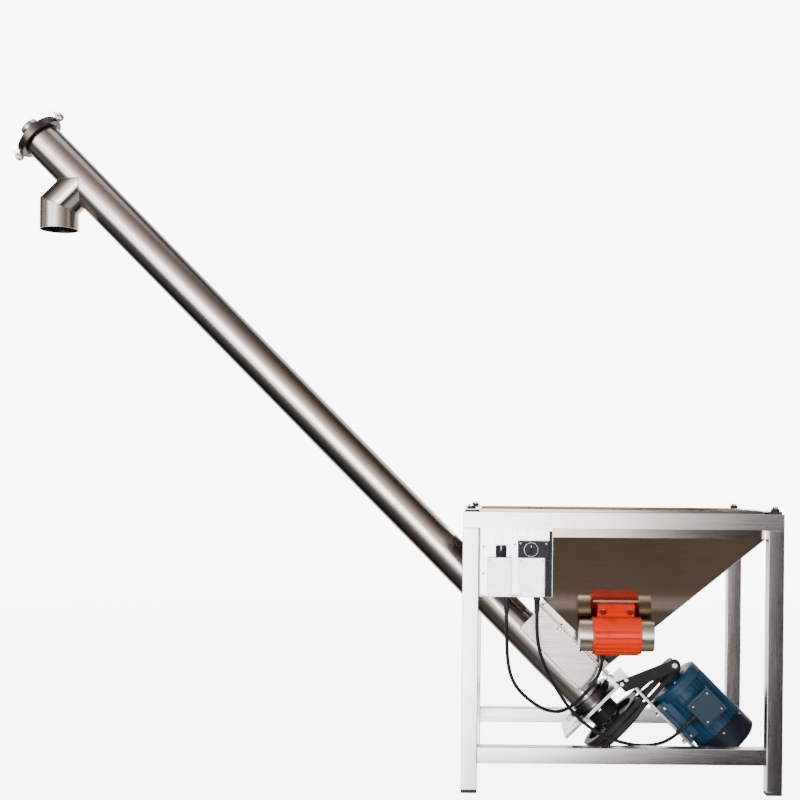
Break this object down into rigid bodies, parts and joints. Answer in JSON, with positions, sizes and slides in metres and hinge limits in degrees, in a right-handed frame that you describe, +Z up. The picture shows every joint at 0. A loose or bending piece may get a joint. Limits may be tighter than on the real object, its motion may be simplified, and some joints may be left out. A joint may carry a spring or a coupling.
{
  "type": "screw conveyor",
  "caption": "Inclined tube screw conveyor fed by a vibrated hopper on a square tube frame, with a belt drive below and a discharge spout above.",
  "frame": {"origin": "centre of the bounding box, on the floor", "axes": "+Z up, +X to the right seen from the controls, -Y towards the controls; the tube rises towards -X in the plane Y = 0"},
  "size_m": [2.0358, 0.62, 1.768],
  "materials": {
    "stainless": "brushed",
    "bright_steel": "satin",
    "black_rubber": "matt",
    "black_paint": "semi-gloss",
    "motor_paint": "semi-gloss",
    "lid_paint": "semi-gloss",
    "cowl_paint": "semi-gloss",
    "vibrator_paint": "gloss",
    "black_plastic": "satin",
    "unit_plastic": "satin"
  },
  "bodies": {
    "frame": {"bearing_cap": "stainless", "bearing_housing": "black_paint", "cable_glands": "black_plastic", "clamp_bolts": "bright_steel", "clamp_halves": "stainless", "control_tray": "stainless", "conveyor_tube": "stainless", "corner_bolts": "bright_steel", "discharge_spout": "stainless", "drive_belts": "black_rubber", "drive_bolts": "bright_steel", "drive_plate": "stainless", "end_cover": "stainless", "fan_cowl": "cowl_paint", "feed_controller": "unit_plastic", "flange_bolts": "bright_steel", "foot_caps": "black_rubber", "guard_arm": "black_paint", "hopper": "stainless", "hopper_cushions": "black_rubber", "hopper_flange": "stainless", "inlet_box": "stainless", "inlet_flange": "stainless", "joint_gaskets": "black_rubber", "leg_back_left": "stainless", "leg_back_right": "stainless", "leg_front_left": "stainless", "leg_front_right": "stainless", "lower_bearings": "bright_steel", "lower_rail_back": "stainless", "lower_rail_front": "stainless", "motor_cable": "black_rubber", "motor_front_shield": "motor_paint", "motor_housing": "motor_paint", "motor_plate": "stainless", "shaft_seal": "black_rubber", "switch_block": "black_plastic", "terminal_box": "motor_paint", "terminal_lid": "lid_paint", "top_bearing": "bright_steel", "top_rail_back": "stainless", "top_rail_front": "stainless", "top_rail_left": "stainless", "top_rail_right": "stainless", "tube_ferrules": "stainless", "vibrator_body": "vibrator_paint", "vibrator_bolts": "bright_steel", "vibrator_cable": "black_rubber", "vibrator_caps": "bright_steel", "vibrator_controller": "unit_plastic"},
    "screw": {"screw_shaft": "bright_steel", "screw_flight": "bright_steel", "large_pulley": "black_paint"},
    "motor_rotor": {"motor_shaft": "bright_steel", "small_pulley": "black_paint", "cooling_fan": "black_plastic"},
    "vibrator_rotor": {"vibrator_rotor": "bright_steel"},
    "speed_knob": {"speed_knob": "black_plastic"},
    "switch_handle": {"switch_handle": "black_plastic"}
  },
  "joints": [
    {"name": "screw_turn", "type": "hinge", "parent": "frame", "child": "screw", "pos_m": [0.56819, 0, 0.182], "axis": [-0.7071, 0, 0.7071], "continuous": true},
    {"name": "motor_turn", "type": "hinge", "parent": "frame", "child": "motor_rotor", "pos_m": [0.70537, 0, 0.31918], "axis": [-0.7071, 0, 0.7071], "continuous": true},
    {"name": "vibrator_turn", "type": "hinge", "parent": "frame", "child": "vibrator_rotor", "pos_m": [0.61385, -0.1714, 0.38026], "axis": [1, 0, 0], "continuous": true},
    {"name": "speed_knob_turn", "type": "hinge", "parent": "frame", "child": "speed_knob", "pos_m": [0.31335, -0.2865, 0.586], "axis": [0, 0, 1], "range_deg": [0, 300]},
    {"name": "switch_turn", "type": "hinge", "parent": "frame", "child": "switch_handle", "pos_m": [0.38835, -0.296, 0.6065], "axis": [0, -1, 0], "range_deg": [0, 90]}
  ],
  "couplings": [
    {"joint": "motor_turn", "follows": "screw_turn", "ratio": 2.5556}
  ]
}
